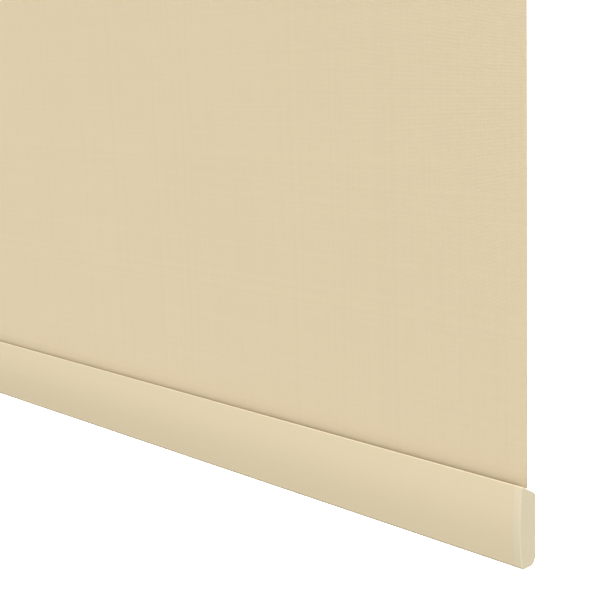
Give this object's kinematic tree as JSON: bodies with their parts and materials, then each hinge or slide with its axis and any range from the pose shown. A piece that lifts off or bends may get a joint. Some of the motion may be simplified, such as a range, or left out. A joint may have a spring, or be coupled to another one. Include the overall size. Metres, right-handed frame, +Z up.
{
  "type": "roller blind",
  "caption": "Cordless spring roller blind: wall brackets, sprung roller and a plain woven shade weighted by a slim bottom bar.",
  "frame": {"origin": "on the wall plane, midway between the two brackets, at the height of the roller's axis", "axes": "+X to the right as seen from the room, along the roller; +Y into the wall; +Z up"},
  "size_m": [1, 0.0525, 0.7151],
  "materials": {
    "shade_fabric": "fine plain weave, matt",
    "bar_coated_aluminium": "satin powder coat in the fabric's colour",
    "bar_cap_plastic": "fine satin moulding",
    "cover_plastic": "fine satin moulding",
    "bracket_steel": "zinc plated",
    "tube_aluminium": "mill finish",
    "plug_plastic": "moulded acetal",
    "nylon": "natural nylon",
    "spindle_steel": "zinc plated",
    "spring_steel": "oiled spring wire",
    "brass": "turned",
    "ballast_steel": "rolled strip",
    "tape": "adhesive film"
  },
  "bodies": {
    "mount": {"bracket_left": "bracket_steel", "bracket_right": "bracket_steel", "bracket_cover_left": "cover_plastic", "bracket_cover_right": "cover_plastic", "thrust_washer": "nylon", "bracket_bush": "nylon", "spindle": "spindle_steel", "ratchet_wheel": "spindle_steel", "mandrel": "spindle_steel", "mandrel_pin": "spindle_steel", "mandrel_clip": "spring_steel", "spring_anchor": "plug_plastic", "torsion_spring": "spring_steel", "shade_fabric": "shade_fabric"},
    "roller": {"roller_tube": "tube_aluminium", "fixing_tape": "tape", "fabric_roll": "shade_fabric", "spring_end_housing": "plug_plastic", "housing_lid": "plug_plastic", "pawl_pins": "spindle_steel", "spring_plug": "plug_plastic", "idle_plug": "plug_plastic", "idle_bush": "brass", "idle_spring": "spring_steel", "idle_spring_seat": "plug_plastic"},
    "pawl_a": {"pawl_a": "spindle_steel"},
    "pawl_b": {"pawl_b": "spindle_steel"},
    "idle_pin": {"idle_pin": "spindle_steel"},
    "bar": {"bottom_bar": "bar_coated_aluminium", "bar_cap_left": "bar_cap_plastic", "bar_cap_right": "bar_cap_plastic", "ballast_strip": "ballast_steel", "hem_spline": "plug_plastic", "hem_fabric": "shade_fabric"}
  },
  "joints": [
    {"name": "blind_lift", "type": "slide", "parent": "mount", "child": "bar", "axis": [0, 0, 1], "range_m": [0, 0.62957], "deforming": ["shade_fabric"]},
    {"name": "roller_spin", "type": "hinge", "parent": "mount", "child": "roller", "pos_m": [0, -0.034, 0], "axis": [1, 0, 0], "range_deg": [0, 2160], "deforming": ["torsion_spring"]},
    {"name": "pawl_a_swing", "type": "hinge", "parent": "roller", "child": "pawl_a", "pos_m": [-0.488, -0.0254, 0], "axis": [1, 0, 0], "range_deg": [0, 28]},
    {"name": "pawl_b_swing", "type": "hinge", "parent": "roller", "child": "pawl_b", "pos_m": [-0.488, -0.0426, 0], "axis": [1, 0, 0], "range_deg": [0, 28]},
    {"name": "idle_pin_slide", "type": "slide", "parent": "roller", "child": "idle_pin", "axis": [1, 0, 0], "range_m": [-0.005, 0], "stiffness_N_per_m": 990, "springref_m": 0.003, "deforming": ["idle_spring"]}
  ],
  "couplings": [
    {"joint": "roller_spin", "follows": "blind_lift", "rad_per_m": 59.88}
  ]
}
